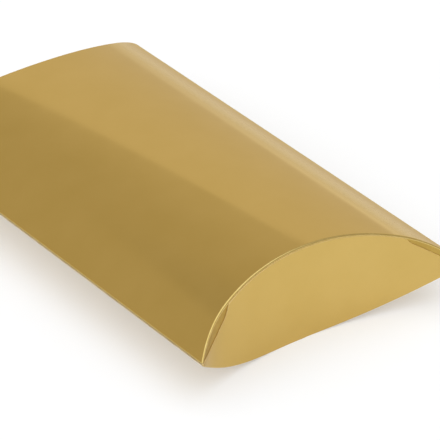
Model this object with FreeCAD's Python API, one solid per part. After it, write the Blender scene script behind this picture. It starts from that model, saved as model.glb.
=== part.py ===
import FreeCAD, Part
import math
import os

from FreeCAD import Vector

# Pillow box: a bowed tube of folding board, glued along one long edge and closed at each end by two
# flaps that fold in on curved scores.
# Frame: +Z up, X across the width, Y along the length, origin on the table under the middle of the box.
# The glued seam is at -X and the front end is at -Y. Lengths in millimetres, angles in degrees.

# Box
box_width = 165.0            # between the two long folds
box_length = 300.0           # from corner to corner
panel_rise = 27.0            # bow of each panel, over the plane of the long folds
edge_angle = 45.0            # slope of a panel at its long fold
crown_angle = 20.0           # slope where the crown of a panel turns into its rounder shoulder
crest_width = 12.0           # flat strip along the crest of each panel, on which the box lies
board = 0.5                  # thickness of the folding board

# Folds and scores
fold_band = 1.4              # width of a long fold, across the box
crease_band = 1.2            # width of the scored band along a curved fold
crease_clearance = 0.12      # between a flap and the scored band that carries it
ridge_flat = 0.2             # depth to which the ridge of a fold is flattened

# Flaps
flap_gap = 0.25              # between the two flaps of one end
free_edge_gap = 0.6          # from the outer flap's free edge to the upper fold
taper_start = 54.0           # from the middle of the outer flap to where its free edge leaves the fold
taper_end = 78.0             # from the middle of the outer flap to where its taper ends
outer_side_gap = 0.5         # from the outer flap's tips to the long folds
inner_depth = 35.0           # of the inner flap, at its middle
inner_side_gap = 1.6         # from the inner flap's tips to the long folds
inner_belly_gap = 0.6        # from the inner flap's free edge to the bottom panel

# Seam
tab_width = 15.0             # of the glue tab, across the box
tab_end_gap = 24.0           # from the corner plane of the box to the tab's inner corners
tab_splay = 10.0             # how far the tab's ends run out towards its fold
glue_thickness = 0.2
glue_margin = 2.5            # bare border of the tab around the glue
seam_setback = 0.6           # from the plane of the long fold to the raw edge of the bottom panel

# Reach of cutting solids past what they cut
overrun = 5.0

half_width = box_width / 2
half_length = box_length / 2
fold_height = panel_rise
box_height = 2 * panel_rise
panel_side = half_width - fold_band
tab_side = panel_side - tab_width
tab_depth = board + glue_thickness
flap_setback = (board + flap_gap) / math.cos(math.radians(edge_angle))

# Section of a bowed panel: on each side of the flat crest, a crown arc and a shoulder arc that meet smoothly
crown = math.radians(crown_angle)
edge = math.radians(edge_angle)
crest_half = crest_width / 2
bow_run = half_width - crest_half
crown_drop_share = 1 - math.cos(crown)
shoulder_run_share = math.sin(edge) - math.sin(crown)
shoulder_drop_share = math.cos(crown) - math.cos(edge)
bow_share = math.sin(crown) * shoulder_drop_share - shoulder_run_share * crown_drop_share
crown_radius = (bow_run * shoulder_drop_share - panel_rise * shoulder_run_share) / bow_share
shoulder_radius = (panel_rise * math.sin(crown) - bow_run * crown_drop_share) / bow_share
shoulder_x = crest_half + (crown_radius - shoulder_radius) * math.sin(crown)
crown_level = panel_rise - crown_radius
shoulder_level = crown_level + (crown_radius - shoulder_radius) * math.cos(crown)


def arc(x, level, radius, start, end, stretch):
    """Arc about a centre, from one slope to another, with its heights stretched. A negative x mirrors it."""
    across = math.copysign(radius, x)
    centre = Vector(x, level * stretch, 0)
    if stretch == 1:
        turns = (start, (start + end) / 2, end)
        points = [centre + Vector(across * math.sin(turn), radius * math.cos(turn), 0) for turn in turns]
        return Part.Arc(*points).toShape()
    ellipse = Part.Ellipse(centre + Vector(0, radius * stretch, 0), centre + Vector(across, 0, 0), centre)
    return Part.ArcOfEllipse(ellipse, start, end).toShape()


def region(depth, floor, stretch=1):
    """Face of all that lies under the bow, moved in by depth, down to the level floor."""
    inner_radius = shoulder_radius - depth
    last = math.acos((floor - shoulder_level) / inner_radius)
    foot = shoulder_x + inner_radius * math.sin(last)
    crest = (panel_rise - depth) * stretch
    edges = []
    for side in (1, -1):
        edges.append(arc(side * crest_half, crown_level, crown_radius - depth, 0, crown, stretch))
        edges.append(arc(side * shoulder_x, shoulder_level, inner_radius, crown, last, stretch))
    edges.append(Part.makeLine(Vector(-crest_half, crest, 0), Vector(crest_half, crest, 0)))
    edges.append(Part.makeLine(Vector(-foot, floor * stretch, 0), Vector(foot, floor * stretch, 0)))
    return Part.Face(Part.Wire(Part.__sortEdges__(edges)))


def upright(face, y):
    """A section stood up across the box at the place y, on the plane of the long folds."""
    face = face.copy()
    face.rotate(Vector(), Vector(1, 0, 0), 90)
    face.translate(Vector(0, y, fold_height))
    return face


def under(depth, floor, reach=overrun):
    """All that lies under the bow, along the whole box and past its ends by reach."""
    start = half_length + reach
    return upright(region(depth, floor), -start).extrude(Vector(0, 2 * start, 0))


def shell(depth, thickness, floor=0):
    """A bowed layer of board, along the whole box."""
    return under(depth, floor, 0).cut(under(depth + thickness, floor - overrun))


def mitre(setback):
    """What lies on the flap's side of the mitre that bisects the corner of a front curved fold."""
    face = upright(region(0, -overrun, 2), -half_length - overrun)
    face.translate(Vector(0, 0, setback + overrun))
    return face.extrude(Vector(0, 1, -1) * (panel_rise + setback + 3 * overrun))


def wall(setback):
    """The upright front wall below a curved fold, as bowed in plan as the panel is in section."""
    face = region(-board, -overrun).cut(region(0, -2 * overrun))
    face.translate(Vector(0, setback - half_length, -overrun))
    return face.extrude(Vector(0, 0, box_height + 2 * overrun))


def ridge(setback):
    """What is flattened off a front curved fold, over a plane beside that of the fold itself."""
    top = panel_rise + overrun
    drop = ridge_flat * math.sqrt(2)
    corners = [(-overrun + setback, -overrun - drop), (top + setback, top - drop), (-overrun + setback, top - drop)]
    points = [Vector(-half_width, y - half_length, z + fold_height) for y, z in corners]
    return Part.Face(Part.makePolygon(points + points[:1])).extrude(Vector(box_width, 0, 0))


def moved(shape, y):
    shape = shape.copy()
    shape.translate(Vector(0, y, 0))
    return shape


def below(shape):
    """A shape that is alike on both sides, turned over about the middle of the box."""
    shape = shape.copy()
    shape.rotate(Vector(0, 0, fold_height), Vector(0, 1, 0), 180)
    return shape


def rear(shape):
    """A shape that is alike on both sides, turned round from the front end to the rear end."""
    shape = shape.copy()
    shape.rotate(Vector(), Vector(0, 0, 1), 180)
    return shape


def block(low_x, high_x, low_z, high_z):
    corner = Vector(low_x, -half_length - overrun, low_z)
    return Part.makeBox(high_x - low_x, box_length + 2 * overrun, high_z - low_z, corner)


def column(low_x, high_x):
    return block(low_x, high_x, -overrun, box_height + overrun)


def ended(layer, cut):
    """A layer cut off at both ends of the box by a front cutting solid."""
    return layer.cut(cut).cut(rear(cut))


def tab_plan(margin):
    """Outline of the glue tab in plan, less a border, as a tall prism."""
    outer = margin - panel_side
    inner = -tab_side - margin
    long_half = half_length - tab_end_gap + tab_splay - margin
    short_half = half_length - tab_end_gap - margin
    corners = [(outer, -long_half), (inner, -short_half), (inner, short_half), (outer, long_half)]
    points = [Vector(x, y, -overrun) for x, y in corners]
    return Part.Face(Part.makePolygon(points + points[:1])).extrude(Vector(0, 0, box_height + 2 * overrun))


def taper():
    """What is trimmed off the +X end of the front outer flap."""
    top = box_height + overrun
    side = half_width + overrun
    start_rise = shoulder_level + math.sqrt(shoulder_radius ** 2 - (taper_start - shoulder_x) ** 2)
    corners = [(taper_start, top), (taper_start, fold_height + start_rise),
               (taper_end, fold_height), (side, fold_height), (side, top)]
    points = [Vector(x, -half_length - overrun, z) for x, z in corners]
    return Part.Face(Part.makePolygon(points + points[:1])).extrude(Vector(0, half_length, 0))


top_layer = shell(0, board)
bottom_layer = below(top_layer)
tab_layer = below(shell(tab_depth, board, -overrun))
glue_layer = below(shell(board, glue_thickness))
upper_mitre = mitre(flap_setback)
lower_mitre = below(mitre(0))

nodes = {}

# Panels, each with a scored band along its two curved folds
for node, place, layer, left, cut, flat in (
        ("top_panel", "upper", top_layer, -panel_side, upper_mitre, ridge(flap_setback)),
        ("bottom_panel", "lower", bottom_layer, seam_setback - half_width, lower_mitre, below(ridge(0)))):
    strip = layer.common(column(left, panel_side))
    scored = moved(cut, crease_band)
    nodes[node] = ended(strip, scored)
    nodes[f"front_{place}_crease"] = strip.common(scored).cut(cut).cut(flat)
    nodes[f"rear_{place}_crease"] = strip.common(rear(scored)).cut(rear(cut)).cut(rear(flat))

# Long folds: a plain one at +X, and one at -X that carries the glue tab
side_column = column(panel_side, half_width - ridge_flat)
upper_leg = ended(top_layer.common(side_column), upper_mitre)
lower_leg = ended(bottom_layer.common(side_column), lower_mitre)
nodes["side_fold"] = upper_leg.fuse(lower_leg).removeSplitter()

seam_column = column(seam_setback - half_width, -panel_side)
upper_leg = top_layer.common(below(under(tab_depth, -overrun)))
upper_leg = ended(upper_leg.common(seam_column), upper_mitre)
lower_leg = tab_layer.common(under(0, -overrun))
lower_leg = ended(lower_leg.common(seam_column), lower_mitre)
nodes["seam_fold"] = upper_leg.fuse(lower_leg).removeSplitter()

# Glue tab inside the bottom panel, and its glue
nodes["seam_tab"] = tab_layer.common(tab_plan(0))
nodes["seam_glue"] = glue_layer.common(tab_plan(glue_margin))

# Flaps
outer_flap = below(wall(0)).common(moved(lower_mitre, -crease_clearance)).cut(below(ridge(0)))
outer_flap = outer_flap.common(under(free_edge_gap, -box_height))
outer_flap = outer_flap.common(column(outer_side_gap - panel_side, panel_side - outer_side_gap))
outer_flap = outer_flap.cut(taper()).cut(taper().mirror(Vector(), Vector(1, 0, 0)))
inner_flap = wall(flap_setback).common(moved(upper_mitre, -crease_clearance)).cut(ridge(flap_setback))
inner_flap = inner_flap.common(below(under(board + inner_belly_gap, -box_height)))
inner_side = panel_side - inner_side_gap
inner_flap = inner_flap.common(block(-inner_side, inner_side, box_height - inner_depth, box_height + overrun))
for name, flap in (("outer", outer_flap), ("inner", inner_flap)):
    nodes[f"front_{name}_flap"] = flap
    nodes[f"rear_{name}_flap"] = rear(flap)

os.makedirs("parts", exist_ok=True)
for name, shape in nodes.items():
    solid = shape.Solids[0] if len(shape.Solids) == 1 else shape
    solid.exportStep(f"parts/{name}.step")
    box = solid.optimalBoundingBox(False)
    print(f"{name}: {len(shape.Solids)} solid, valid {solid.isValid()}, {solid.Volume:.1f} mm3,"
          f" x {box.XMin:.2f} {box.XMax:.2f} y {box.YMin:.2f} {box.YMax:.2f} z {box.ZMin:.2f} {box.ZMax:.2f}")
print(f"crown radius {crown_radius:.1f}, shoulder radius {shoulder_radius:.1f}, shoulder from {shoulder_x:.1f}")
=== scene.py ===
import math

import bmesh
import bpy
from mathutils import Matrix, Vector


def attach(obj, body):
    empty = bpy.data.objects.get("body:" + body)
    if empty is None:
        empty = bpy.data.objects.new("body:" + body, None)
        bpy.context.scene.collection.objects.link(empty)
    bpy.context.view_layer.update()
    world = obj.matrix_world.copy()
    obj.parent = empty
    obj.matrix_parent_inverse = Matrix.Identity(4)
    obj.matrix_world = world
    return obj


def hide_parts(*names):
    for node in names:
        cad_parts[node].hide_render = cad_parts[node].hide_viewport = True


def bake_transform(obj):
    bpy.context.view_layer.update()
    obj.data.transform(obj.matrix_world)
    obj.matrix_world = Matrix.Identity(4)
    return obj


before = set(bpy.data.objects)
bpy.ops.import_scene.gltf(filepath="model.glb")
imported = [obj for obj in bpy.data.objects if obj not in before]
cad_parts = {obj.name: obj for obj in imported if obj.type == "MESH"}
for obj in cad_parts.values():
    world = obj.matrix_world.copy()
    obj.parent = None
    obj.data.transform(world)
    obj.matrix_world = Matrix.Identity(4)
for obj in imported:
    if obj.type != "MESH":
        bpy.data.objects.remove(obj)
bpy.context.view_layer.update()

# Bottom panel: half of the one die-cut blank, of folding board with a gold metallised film laminated to its
# outer face. It bows down between the two long folds, and its belly settles on the table, most by the seam.
# Its -X edge is left as it was cut, and its ends run into the curved scores.
box_length = 0.300
fold_height = 0.027
panel_rise = 0.027
board_thickness = 0.00045
crest_half = 0.001
crown_angle = math.radians(20)
crown_radius = 0.15815
crown_level = panel_rise - crown_radius
shoulder_radius = 0.07508
shoulder_x = crest_half + (crown_radius - shoulder_radius) * math.sin(crown_angle)
shoulder_level = crown_level + (crown_radius - shoulder_radius) * math.cos(crown_angle)
fold_start_x = 0.0817
raw_edge_x = 0.0819
lower_score_radius = 0.0005
seam_settle = 1.0
side_settle = 0.15
settle_power = 3.5
crest_cuts = 1
crown_steps = 32
shoulder_steps = 36
lengthways_cuts = 59


def slope_at(x):
    """Slope of the shoulder at a distance from the middle of the box."""
    return math.asin((x - shoulder_x) / shoulder_radius)


def rise_at(x):
    """Height of the bow over the long folds, on the shoulder."""
    return shoulder_level + shoulder_radius * math.cos(slope_at(x))


def new_verts(made):
    """Vertices that an operator made."""
    return [item for item in made["geom"] if isinstance(item, bmesh.types.BMVert)]


def draw_bow(left_x, right_x):
    """Starts a sheet with the section of a bowed panel, drawn over the plane of the long folds."""
    sheet = bmesh.new()
    ends = [sheet.verts.new((x, 0, panel_rise)) for x in (-crest_half, crest_half)]
    crest = sheet.edges.new(ends)
    for end, side, reach in zip(ends, (-1, 1), (left_x, right_x)):
        crown = bmesh.ops.spin(sheet, geom=[end], cent=(side * crest_half, 0, crown_level), axis=(0, 1, 0),
                               angle=side * crown_angle, steps=crown_steps)
        bmesh.ops.spin(sheet, geom=crown["geom_last"], cent=(side * shoulder_x, 0, shoulder_level),
                       axis=(0, 1, 0), angle=side * (slope_at(reach) - crown_angle), steps=shoulder_steps)
    bmesh.ops.subdivide_edges(sheet, edges=[crest], cuts=crest_cuts)
    return sheet


def lean_onto_score(sheet, side, setback):
    """Leans a section onto the plane of a front curved score, where it steps back as much as it rises."""
    end_y = setback - box_length / 2
    lean = Matrix(((1, 0, 0, 0), (0, 1, 1, end_y), (0, 0, side, fold_height), (0, 0, 0, 1)))
    bmesh.ops.transform(sheet, matrix=lean, verts=sheet.verts)


def settle(sheet):
    """Lets the belly of a sheet down towards the table, as the board gives under its weight."""
    for vert in sheet.verts:
        give = seam_settle if vert.co.x < 0 else side_settle
        lowness = max(1 - vert.co.z / fold_height, 0)
        vert.co.z *= 1 - give * lowness ** settle_power


def run_to_rear(sheet, cuts):
    """Runs the front row of a sheet to its mirror image at the rear end, and divides it lengthways."""
    rear_row = new_verts(bmesh.ops.extrude_edge_only(sheet, edges=sheet.edges))
    bmesh.ops.scale(sheet, vec=(1, -1, 1), verts=rear_row)
    lengthways = [edge for edge in sheet.edges if edge.verts[0].co.y * edge.verts[1].co.y < 0]
    bmesh.ops.subdivide_edges(sheet, edges=lengthways, cuts=cuts, use_grid_fill=True)


def node(tree, kind, inputs=None, **settings):
    """Adds a node, with values or links for its inputs by name or number."""
    made = tree.nodes.new(kind)
    for name, value in settings.items():
        setattr(made, name, value)
    for name, value in (inputs or {}).items():
        if isinstance(value, bpy.types.NodeSocket):
            tree.links.new(value, made.inputs[name])
        else:
            made.inputs[name].default_value = value
    return made


noise_low, noise_middle, noise_high = 0.3, 0.5, 0.7


def ramp(tree, factor, colours, places=(noise_low, noise_middle, noise_high)):
    """Adds a colour ramp, with its colours at places along the usual range of a noise."""
    made = node(tree, "ShaderNodeValToRGB", {"Fac": factor})
    elements = made.color_ramp.elements
    while len(elements) < len(colours):
        elements.new(1)
    for element, place, colour in zip(elements, places, colours):
        element.position = place
        element.color = (*colour, 1)
    return made.outputs["Color"]


def spread(tree, value, low, high):
    """Spreads the usual range of a noise over two values."""
    made = node(tree, "ShaderNodeMapRange", {"Value": value, "From Min": noise_low, "From Max": noise_high,
                                             "To Min": low, "To Max": high})
    return made.outputs["Result"]


def group_of(name, inputs, outputs):
    """Starts a shader node group with number inputs and outputs."""
    tree = bpy.data.node_groups.new(name, "ShaderNodeTree")
    for socket, value in inputs.items():
        made = tree.interface.new_socket(socket, in_out="INPUT", socket_type="NodeSocketFloat")
        made.default_value = value
    for socket in outputs:
        tree.interface.new_socket(socket, in_out="OUTPUT", socket_type="NodeSocketFloat")
    return tree, tree.nodes.new("NodeGroupInput").outputs, tree.nodes.new("NodeGroupOutput").inputs


def board_surface():
    """Unevenness of the board: cloudy patches, the fine fibres, and the streaks of the paper machine."""
    clouds, fibres, streak_share = 45.0, 1400.0, 0.12
    cloud_detail, fibre_detail = 3, 2
    tree, given, put_out = group_of("board_surface", {"Clouds": clouds, "Fibres": fibres},
                                    ("Cloud", "Fibre", "Streak"))
    place = node(tree, "ShaderNodeTexCoord").outputs["Object"]
    drawn = node(tree, "ShaderNodeMapping", {"Vector": place, "Scale": (1, streak_share, 1)})
    along = drawn.outputs["Vector"]
    for socket, vector, scale, detail in (("Cloud", place, "Clouds", cloud_detail),
                                          ("Fibre", place, "Fibres", fibre_detail),
                                          ("Streak", along, "Fibres", fibre_detail)):
        noise = node(tree, "ShaderNodeTexNoise",
                     {"Vector": vector, "Scale": given[scale], "Detail": detail})
        tree.links.new(noise.outputs["Fac"], put_out[socket])
    return tree


surface_group = board_surface()


def start_material(name, clouds, fibres):
    """Starts a board material, with the group of its surface and its Principled shader."""
    made = bpy.data.materials.new(name)
    made.use_nodes = True
    tree = made.node_tree
    surface = node(tree, "ShaderNodeGroup", node_tree=surface_group)
    surface.inputs["Clouds"].default_value = clouds
    surface.inputs["Fibres"].default_value = fibres
    return made, tree, surface.outputs, tree.nodes["Principled BSDF"].inputs


def relief(tree, height, depth):
    """Fine relief of the surface, of a depth in metres."""
    bump = node(tree, "ShaderNodeBump", {"Height": height, "Strength": 1, "Distance": depth})
    return bump.outputs["Normal"]


def lay_finish(tree, shader, colour, roughness, normal):
    """Joins what varies over a surface to its shader."""
    tree.links.new(colour, shader["Base Color"])
    tree.links.new(roughness, shader["Roughness"])
    tree.links.new(normal, shader["Normal"])


film_edge_tint = (0.86, 0.82, 0.75)
haze_start = 0.70
haze_most = 0.55


def make_metal(shader):
    """Makes a finish the film's metal, with the tint that it takes on where it turns away."""
    shader["Metallic"].default_value = 1
    shader["Specular Tint"].default_value = (*film_edge_tint, 1)


def hazed(tree, gloss):
    """Roughness of the film, which goes hazy at a glancing angle, as the fibres under it stand out."""
    glance = node(tree, "ShaderNodeLayerWeight").outputs["Facing"]
    haze = node(tree, "ShaderNodeMapRange", {"Value": glance, "From Min": haze_start, "To Max": haze_most})
    rough = node(tree, "ShaderNodeMath", {0: gloss, 1: haze.outputs["Result"]}, operation="ADD")
    return rough.outputs["Value"]


def gold_film():
    """Gold metallised film: a smooth bright metal face through which the board's fibres show faintly."""
    patches, fibres, peel_depth = 45.0, 1100.0, 0.0000012
    deep_gold, gold, light_gold = (0.60, 0.414, 0.122), (0.61, 0.422, 0.127), (0.62, 0.43, 0.132)
    smoothest, roughest = 0.07, 0.10
    made, tree, surface, shader = start_material("gold_film", patches, fibres)
    lay_finish(tree, shader, ramp(tree, surface["Cloud"], (deep_gold, gold, light_gold)),
               hazed(tree, spread(tree, surface["Cloud"], smoothest, roughest)),
               relief(tree, surface["Streak"], peel_depth))
    make_metal(shader)
    return made


def bare_back():
    """Uncoated back of the board: matt, pale and grey-cream, flecked with fibres."""
    patches, fibres, fibre_depth = 60.0, 1800.0, 0.00002
    fleck, back, light_back = (0.52, 0.48, 0.41), (0.66, 0.62, 0.54), (0.72, 0.69, 0.61)
    fleck_end = 0.42
    smoothest, roughest = 0.82, 0.94
    made, tree, surface, shader = start_material("bare_back", patches, fibres)
    flecked = ramp(tree, surface["Fibre"], (fleck, back, light_back), (noise_low, fleck_end, noise_high))
    lay_finish(tree, shader, flecked, spread(tree, surface["Cloud"], smoothest, roughest),
               relief(tree, surface["Fibre"], fibre_depth))
    return made


def cut_edge():
    """Edge of the board as the die left it: soft tan fibres, darker where they were pressed."""
    patches, fibres, fibre_depth = 300.0, 4000.0, 0.00003
    pressed, core, light_core = (0.42, 0.30, 0.14), (0.54, 0.41, 0.22), (0.63, 0.50, 0.31)
    smoothest, roughest = 0.8, 0.95
    made, tree, surface, shader = start_material("cut_edge", patches, fibres)
    lay_finish(tree, shader, ramp(tree, surface["Cloud"], (pressed, core, light_core)),
               spread(tree, surface["Fibre"], smoothest, roughest),
               relief(tree, surface["Fibre"], fibre_depth))
    return made


film, back_face, cut_face = gold_film(), bare_back(), cut_edge()


def card(name, sheet, face, edge_face, slot, *nodes):
    """Makes a piece of board from a sheet that is its outer face, with its bare back and its edges."""
    bmesh.ops.recalc_face_normals(sheet, faces=sheet.faces)
    box_middle = Vector((0, 0, fold_height))
    if sum(facet.normal.dot(facet.calc_center_median() - box_middle) for facet in sheet.faces) < 0:
        bmesh.ops.reverse_faces(sheet, faces=sheet.faces)
    for facet in sheet.faces:
        facet.smooth = True
    for edge in sheet.edges:
        edge.smooth = not edge.is_boundary
    mesh = bpy.data.meshes.new(name)
    sheet.to_mesh(mesh)
    sheet.free()
    for finish in (face, back_face, edge_face):
        mesh.materials.append(finish)
    piece = bpy.data.objects.new(name, mesh)
    bpy.context.collection.objects.link(piece)
    wall = piece.modifiers.new("board", "SOLIDIFY")
    wall.thickness = board_thickness
    wall.offset = -1
    wall.material_offset = 1
    wall.material_offset_rim = 2
    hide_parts(*nodes)
    return piece


bottom = draw_bow(raw_edge_x, fold_start_x)
lean_onto_score(bottom, -1, lower_score_radius)
run_to_rear(bottom, lengthways_cuts)
settle(bottom)
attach(card("bottom_sheet", bottom, film, cut_face, "gold_board", "bottom_panel"), "tube")

# Side fold: the plain long fold at +X, where the blank was scored and bent round through a right angle from
# the bottom panel into the top panel. The film is stretched round it and stays whole.
fold_steps = 10
fold_end_y = 0.1488
fold_end_lean = 0.65


def stretched_and_highlit_film():
    """Film stretched over a score: a little lighter as painted highlight, and duller, with fine streaks
    across the bend.
    """
    patches, fibres, streak_depth = 220.0, 2200.0, 0.000003
    # These golds are lighter and paler than the flat film's: painted highlight along the bends of the folds
    # and scores.
    gold, light_gold, worn_highlit_gold = (0.65, 0.47, 0.155), (0.69, 0.51, 0.185), (0.73, 0.555, 0.22)
    wear_places = (0.35, 0.6, 0.75)
    smoothest, roughest = 0.12, 0.2
    made, tree, surface, shader = start_material("stretched_and_highlit_film", patches, fibres)
    lay_finish(tree, shader, ramp(tree, surface["Cloud"], (gold, light_gold, worn_highlit_gold), wear_places),
               hazed(tree, spread(tree, surface["Streak"], smoothest, roughest)),
               relief(tree, surface["Streak"], streak_depth))
    make_metal(shader)
    return made


highlit_score_film = stretched_and_highlit_film()


def draw_fold(side, start_x, level):
    """Starts a sheet with the section of a long fold, tangent to the panels on both sides of it."""
    slope = slope_at(start_x)
    radius = (rise_at(start_x) - level) / math.cos(slope)
    sheet = bmesh.new()
    start = sheet.verts.new((side * start_x, 0, rise_at(start_x)))
    bmesh.ops.spin(sheet, geom=[start], cent=(side * (start_x - radius * math.sin(slope)), 0, level),
                   axis=(0, 1, 0), angle=side * (math.pi - 2 * slope), steps=fold_steps)
    return sheet


def run_fold(sheet):
    """Stands a fold's section at the front corner, leaning from score to score, and runs it back."""
    lean = Matrix(((1, 0, 0, 0), (0, 1, fold_end_lean, -fold_end_y), (0, 0, 1, fold_height),
                   (0, 0, 0, 1)))
    bmesh.ops.transform(sheet, matrix=lean, verts=sheet.verts)
    run_to_rear(sheet, lengthways_cuts)
    settle(sheet)


side_fold = draw_fold(1, fold_start_x, 0)
run_fold(side_fold)
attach(card("side_fold_bend", side_fold, highlit_score_film, cut_face, "gold_score", "side_fold"), "tube")

# Top panel: the other half of the blank, of the same board and film, bowed up between the long folds. Its
# own scores lie a little inside those of the bottom panel, so that its end flaps tuck in behind the others.
flap_setback = 0.0005
upper_score_radius = 0.0011
seam_start_x = 0.08165

top = draw_bow(seam_start_x, fold_start_x)
lean_onto_score(top, 1, flap_setback + upper_score_radius)
run_to_rear(top, lengthways_cuts)
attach(card("top_sheet", top, film, cut_face, "gold_board", "top_panel"), "tube")

# Seam: at -X the top panel is bent round into a glue tab, whose ends are cut back at a slant. The tab lies
# inside the bottom panel, on a thin bed of dispersion glue.
tab_depth = 0.0007
tab_width = 0.015
tab_end_y = 0.136
tab_splay = 0.010
tab_steps = 8
tab_cuts = 39
seam_level = tab_depth / math.cos(slope_at(seam_start_x)) / 2

seam = draw_fold(-1, seam_start_x, seam_level)
run_fold(seam)
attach(card("seam_fold_bend", seam, highlit_score_film, cut_face, "gold_score", "seam_fold"), "tube")

tab_radius = shoulder_radius - tab_depth
tab_slope = slope_at(seam_start_x)
tab_turn = tab_slope - math.asin((seam_start_x - tab_width - shoulder_x) / tab_radius)
tab = bmesh.new()
tab_root = tab.verts.new((-shoulder_x - tab_radius * math.sin(tab_slope), 0,
                          -shoulder_level - tab_radius * math.cos(tab_slope)))
bmesh.ops.spin(tab, geom=[tab_root], cent=(-shoulder_x, 0, -shoulder_level), axis=(0, 1, 0),
               angle=-tab_turn, steps=tab_steps)
splay = tab_splay / tab_width
tab_lean = Matrix(((1, 0, 0, 0), (splay, 1, 0, splay * seam_start_x - tab_end_y), (0, 0, 1, fold_height),
                   (0, 0, 0, 1)))
bmesh.ops.transform(tab, matrix=tab_lean, verts=tab.verts)
run_to_rear(tab, tab_cuts)
settle(tab)
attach(card("seam_tab_sheet", tab, film, cut_face, "seam_board", "seam_tab"), "tube")


def dry_glue():
    """Dispersion glue, dried to a cloudy cream skin."""
    patches, fibres, skin_depth = 180.0, 700.0, 0.00002
    thin, cream, thick = (0.74, 0.69, 0.56), (0.80, 0.76, 0.64), (0.86, 0.83, 0.74)
    smoothest, roughest = 0.35, 0.6
    made, tree, surface, shader = start_material("dry_glue", patches, fibres)
    lay_finish(tree, shader, ramp(tree, surface["Cloud"], (thin, cream, thick)),
               spread(tree, surface["Cloud"], smoothest, roughest),
               relief(tree, surface["Fibre"], skin_depth))
    return made


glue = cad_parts["seam_glue"].data
glue.materials.clear()
glue.materials.append(dry_glue())

# Curved scores: the four arched creases, pressed into the board with a rounded rule and bent through a
# right angle. Their arch is what bows the panels and holds the closed ends in.
score_steps = 8


def bend_over_score(sheet, side, radius):
    """Carries the row along a curved score round its bend, in short steps from the panel to the flap."""
    row, step = sheet.edges[:], math.pi / 2 / score_steps
    for count in range(score_steps):
        start, end = count * step, (count + 1) * step
        made = bmesh.ops.extrude_edge_only(sheet, edges=row)
        row = [item for item in made["geom"] if isinstance(item, bmesh.types.BMEdge)]
        move = (0, math.sin(start) - math.sin(end), side * (math.cos(end) - math.cos(start)))
        bmesh.ops.translate(sheet, vec=Vector(move) * radius, verts=new_verts(made))


def stand_at(sheet, end):
    """Leaves a sheet at the front end, or turns it round to the rear end."""
    if end == "rear":
        half_turn = Matrix.Rotation(math.pi, 3, "Z")
        bmesh.ops.rotate(sheet, cent=(0, 0, 0), matrix=half_turn, verts=sheet.verts)


for place, side, setback, radius, left_x in (("lower", -1, 0, lower_score_radius, fold_start_x),
                                             ("upper", 1, flap_setback, upper_score_radius, seam_start_x)):
    for end, reaches in (("front", (left_x, fold_start_x)), ("rear", (fold_start_x, left_x))):
        crease = draw_bow(*reaches)
        lean_onto_score(crease, side, setback + radius)
        bend_over_score(crease, side, radius)
        stand_at(crease, end)
        settle(crease)
        piece = card(f"{end}_{place}_score", crease, highlit_score_film, highlit_score_film, "gold_score",
                     f"{end}_{place}_crease")
        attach(piece, "tube")

# Inner flaps: one at each end, cut in one with the top panel and folded down on its curved score. They
# reach most of the way to the bottom panel and stay behind the outer flaps.
flap_cuts = 23
inner_side_x = 0.0806
inner_foot = 0.019
inner_clearance = 0.0013
upright_slack = 0.0000045


def drawn_edge():
    """Cut edge of a flap, over which the die drew the film: tan fibres smeared with dull gold."""
    patches, fibres, fibre_depth = 400.0, 3000.0, 0.00002
    tan, smeared, gold = (0.58, 0.42, 0.16), (0.63, 0.46, 0.18), (0.68, 0.51, 0.21)
    smoothest, roughest = 0.5, 0.7
    least_film, most_film = 0, 0.2
    made, tree, surface, shader = start_material("drawn_edge", patches, fibres)
    lay_finish(tree, shader, ramp(tree, surface["Cloud"], (tan, smeared, gold)),
               spread(tree, surface["Fibre"], smoothest, roughest),
               relief(tree, surface["Fibre"], fibre_depth))
    tree.links.new(spread(tree, surface["Cloud"], least_film, most_film), shader["Metallic"])
    return made


def rubbed_and_shaded_film():
    """Film of a flap that another one slides over: rubbed dull, with fine scuffs up and down the flap,
    darkened as painted shade.
    """
    patches, scuffs, scuff_depth, scuff_share = 70.0, 900.0, 0.0000008, 0.08
    # These golds are darker than the flat film's: painted shade, where the inner flaps lie back behind the
    # outer flaps.
    deep_gold, gold, light_gold = (0.445, 0.29, 0.066), (0.47, 0.31, 0.073), (0.495, 0.33, 0.08)
    smoothest, roughest = 0.26, 0.40
    made, tree, surface, shader = start_material("rubbed_and_shaded_film", patches, scuffs)
    place = node(tree, "ShaderNodeTexCoord").outputs["Object"]
    drawn = node(tree, "ShaderNodeMapping", {"Vector": place, "Scale": (1, 1, scuff_share)})
    upright = drawn.outputs["Vector"]
    scuff = node(tree, "ShaderNodeTexNoise", {"Vector": upright, "Scale": scuffs}).outputs["Fac"]
    lay_finish(tree, shader, ramp(tree, surface["Cloud"], (deep_gold, gold, light_gold)),
               spread(tree, scuff, smoothest, roughest), relief(tree, scuff, scuff_depth))
    make_metal(shader)
    return made


rubbed_edge, shaded_flap_film = drawn_edge(), rubbed_and_shaded_film()


def raise_wall(sheet, side, radius, far_gap, trim):
    """Runs the row along a curved score to its mirror image, trims it there, and divides the wall."""
    level = sheet.edges[:]
    middle = Matrix.Translation((0, 0, -fold_height))
    bmesh.ops.translate(sheet, vec=(0, 0, -side * radius), verts=sheet.verts)
    far_row = new_verts(bmesh.ops.extrude_edge_only(sheet, edges=level))
    bmesh.ops.scale(sheet, vec=(1, 1, -1), verts=far_row, space=middle)
    bmesh.ops.translate(sheet, vec=(0, 0, side * (far_gap - radius)), verts=far_row)
    for vert in far_row:
        vert.co.z = trim(vert.co)
    upright = [edge for edge in sheet.edges if edge not in level
               and abs(edge.verts[0].co.x - edge.verts[1].co.x) < upright_slack]
    bmesh.ops.subdivide_edges(sheet, edges=upright, cuts=flap_cuts, use_grid_fill=True)


def inner_free_edge(place):
    """Height of an inner flap's free edge: a straight cut, clear of the bottom panel at its sides."""
    return max(place.z, inner_foot)


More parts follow.
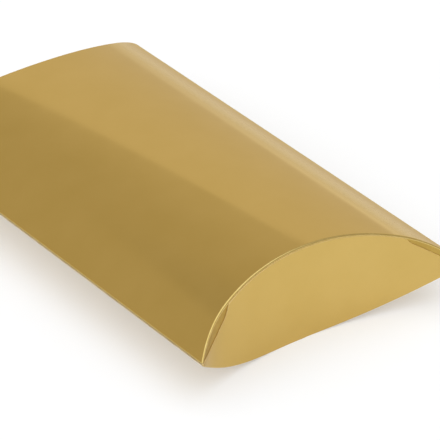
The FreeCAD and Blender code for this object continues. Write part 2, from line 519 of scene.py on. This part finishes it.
for end, inward in (("front", 1), ("rear", -1)):
    inner = draw_bow(inner_side_x, inner_side_x)
    lean_onto_score(inner, 1, flap_setback)
    raise_wall(inner, 1, upper_score_radius, inner_clearance, inner_free_edge)
    stand_at(inner, end)
    piece = card(f"{end}_inner_flap_sheet", inner, shaded_flap_film, rubbed_edge, "gold_board",
                 f"{end}_inner_flap")
    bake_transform(piece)

# Outer flaps: one at each end, cut in one with the bottom panel and folded up over the inner flaps. The
# free edge meets the upper score, and drops back at both sides over a rounded shoulder to a long taper.
outer_side_x = 0.0811
free_edge_gap = 0.0011
left_taper = ((0.0527, 0.0470), (0.0539, 0.0434), (0.0546, 0.0412), (0.0559, 0.0386), (0.0582, 0.0360),
              (0.0613, 0.0337), (0.0642, 0.0315), (0.0714, 0.0278), (0.0750, 0.0271), (0.0820, 0.0272))
right_taper = ((0.0550, 0.0470), (0.0562, 0.0434), (0.0574, 0.0412), (0.0592, 0.0396), (0.0617, 0.0380),
               (0.0721, 0.0309), (0.0774, 0.0276), (0.0820, 0.0273))


def outer_free_edge(place):
    """Height of an outer flap's free edge: under the upper score, or lower where it tapers."""
    taper = left_taper if place.x < 0 else right_taper
    for start, stop in zip(taper, taper[1:]):
        share = (abs(place.x) - start[0]) / (stop[0] - start[0])
        if 0 <= share <= 1:
            return min(place.z, start[1] + share * (stop[1] - start[1]))
    return place.z


for end, inward in (("front", 1), ("rear", -1)):
    outer = draw_bow(outer_side_x, outer_side_x)
    lean_onto_score(outer, -1, 0)
    raise_wall(outer, -1, lower_score_radius, free_edge_gap, outer_free_edge)
    stand_at(outer, end)
    settle(outer)
    piece = card(f"{end}_outer_flap_sheet", outer, film, rubbed_edge, "gold_board", f"{end}_outer_flap")
    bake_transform(piece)

# Table: a wide white board, matt, that keeps the soft shadow of the box. What the eye and the gold see of
# it is lifted part of the way to the white of the tent round it.
table_size = 40.0
table_white, table_grey = (0.96, 0.96, 0.96), (0.945, 0.945, 0.94)
table_patches, table_fibres = 4.0, 60.0
table_roughness = 0.9
table_lift = 0.32

table = bmesh.new()
bmesh.ops.create_grid(table, x_segments=1, y_segments=1, size=table_size / 2)
table_mesh = bpy.data.meshes.new("table")
table.to_mesh(table_mesh)
table.free()
table_top, tree, surface, shader = start_material("white_table", table_patches, table_fibres)
table_tones = ramp(tree, surface["Cloud"], (table_grey, table_white), (noise_low, noise_high))
tree.links.new(table_tones, shader["Base Color"])
shader["Roughness"].default_value = table_roughness
shader["Specular IOR Level"].default_value = 0
rays = node(tree, "ShaderNodeLightPath").outputs
seen = node(tree, "ShaderNodeMath", {0: rays["Is Camera Ray"], 1: rays["Is Glossy Ray"]},
            operation="MAXIMUM")
seen = node(tree, "ShaderNodeMath", {0: seen.outputs[0], 1: rays["Is Transmission Ray"]},
            operation="MAXIMUM")
lift = node(tree, "ShaderNodeMath", {0: seen.outputs[0], 1: table_lift}, operation="MULTIPLY")
glow = node(tree, "ShaderNodeEmission", {"Color": (1, 1, 1, 1), "Strength": 1})
matt = tree.nodes["Principled BSDF"].outputs["BSDF"]
mixed = node(tree, "ShaderNodeMixShader", {0: lift.outputs[0], 1: matt, 2: glow.outputs["Emission"]})
tree.links.new(mixed.outputs["Shader"], tree.nodes["Material Output"].inputs["Surface"])
table_mesh.materials.append(table_top)
floor = bpy.data.objects.new("table", table_mesh)
bpy.context.collection.objects.link(floor)

# Light: a white tent, brightest along the level of the table and shaded towards the front and the left,
# with soft windows over the box, at its front left and at its left. A low lamp stands behind the box, and
# its upper edge draws the long reflection across the top panel.
tent_foot, foot_low, foot_high = (1.0, 0.985, 0.975), 0.07, 0.10
tent_back, tent_side, tent_front = (0.72, 0.675, 0.60), (0.64, 0.595, 0.50), (0.58, 0.565, 0.53)
shade_axis, shade_start, shade_middle, shade_end = (-0.26, -0.60, 0.75), -0.12, 0.03, 0.75
tent_roof, roof_low, roof_high = (0.88, 0.88, 0.88), 0.685, 0.715
roof_window = (-0.22, -0.12, 0.95), 0.70, 0.755, (1.30, 1.33, 1.38)
front_window = (-0.53, -0.63, 0.57), 0.76, 0.86, (1.80, 1.86, 1.97)
left_window = (-0.92, 0, 0.39), 0.76, 0.90, (1.15, 1.18, 1.25)
lamp_place, lamp_aim, lamp_size = Vector((0.35, 0.66, 0.33)), Vector((0, 0, 0.33)), (2.4, 0.46)
lamp_radiance, lamp_colour = 0.16, (0.90, 0.91, 1.0)

world = bpy.data.worlds.new("tent")
bpy.context.scene.world = world
world.use_nodes = True
tree = world.node_tree
direction = node(tree, "ShaderNodeTexCoord").outputs["Generated"]
height = node(tree, "ShaderNodeSeparateXYZ", {"Vector": direction}).outputs["Z"]


def between(value, low, high):
    """Rises softly from 0 to 1 as a value goes from low to high."""
    made = node(tree, "ShaderNodeMapRange", {"Value": value, "From Min": low, "From Max": high},
                interpolation_type="SMOOTHSTEP")
    return made.outputs["Result"]


def over(share, below, above, blend_type="MIX"):
    """Lays one colour of the tent over another, by a share."""
    inputs = {"Fac": share}
    for name, colour in (("Color1", below), ("Color2", above)):
        inputs[name] = colour if isinstance(colour, bpy.types.NodeSocket) else (*colour, 1)
    return node(tree, "ShaderNodeMixRGB", inputs, blend_type=blend_type).outputs["Color"]


def toward(axis):
    """How far a direction points along an axis."""
    return node(tree, "ShaderNodeVectorMath", {0: direction, 1: Vector(axis).normalized()},
                operation="DOT_PRODUCT").outputs["Value"]


shade = toward(shade_axis)
cloth = over(between(shade, shade_start, shade_middle), tent_back, tent_side)
cloth = over(between(shade, shade_middle, shade_end), cloth, tent_front)
cloth = over(between(height, roof_low, roof_high), cloth, tent_roof, "MULTIPLY")
for axis, edge, core, pane in (roof_window, front_window, left_window):
    cloth = over(between(toward(axis), edge, core), cloth, pane, "LIGHTEN")
tones = over(between(height, foot_low, foot_high), tent_foot, cloth)
tree.links.new(tones, tree.nodes["Background"].inputs["Color"])

lamp = bpy.data.lights.new("back_lamp", "AREA")
lamp.shape = "RECTANGLE"
lamp.size, lamp.size_y = lamp_size
lamp.energy = lamp_radiance * math.pi * lamp_size[0] * lamp_size[1]
lamp.color = lamp_colour
back_lamp = bpy.data.objects.new("back_lamp", lamp)
back_lamp.location = lamp_place
back_lamp.rotation_euler = (lamp_aim - lamp_place).to_track_quat("-Z", "Y").to_euler()
back_lamp.visible_camera = False
bpy.context.collection.objects.link(back_lamp)

# Camera: a long lens from the front and the left, above the box, turned a touch off level. It is aimed at
# the near half of the box.
camera_aim = Vector((0.0066, -0.0384, 0.0272))
camera_distance = 2.132
camera_azimuth = math.radians(-34.76)
camera_elevation = math.radians(30.24)
camera_roll = math.radians(-0.96)
camera_lens = 334.7

back = Vector((math.sin(camera_azimuth) * math.cos(camera_elevation),
               -math.cos(camera_azimuth) * math.cos(camera_elevation), math.sin(camera_elevation)))
camera_data = bpy.data.cameras.new("camera")
camera_data.lens = camera_lens
camera = bpy.data.objects.new("camera", camera_data)
turned = (-back).to_track_quat("-Z", "Y").to_matrix() @ Matrix.Rotation(camera_roll, 3, "Z")
camera.matrix_world = Matrix.Translation(camera_aim + back * camera_distance) @ turned.to_4x4()
bpy.context.collection.objects.link(camera)
bpy.context.scene.camera = camera
bpy.context.scene.view_settings.view_transform = "Standard"

bpy.context.view_layer.update()
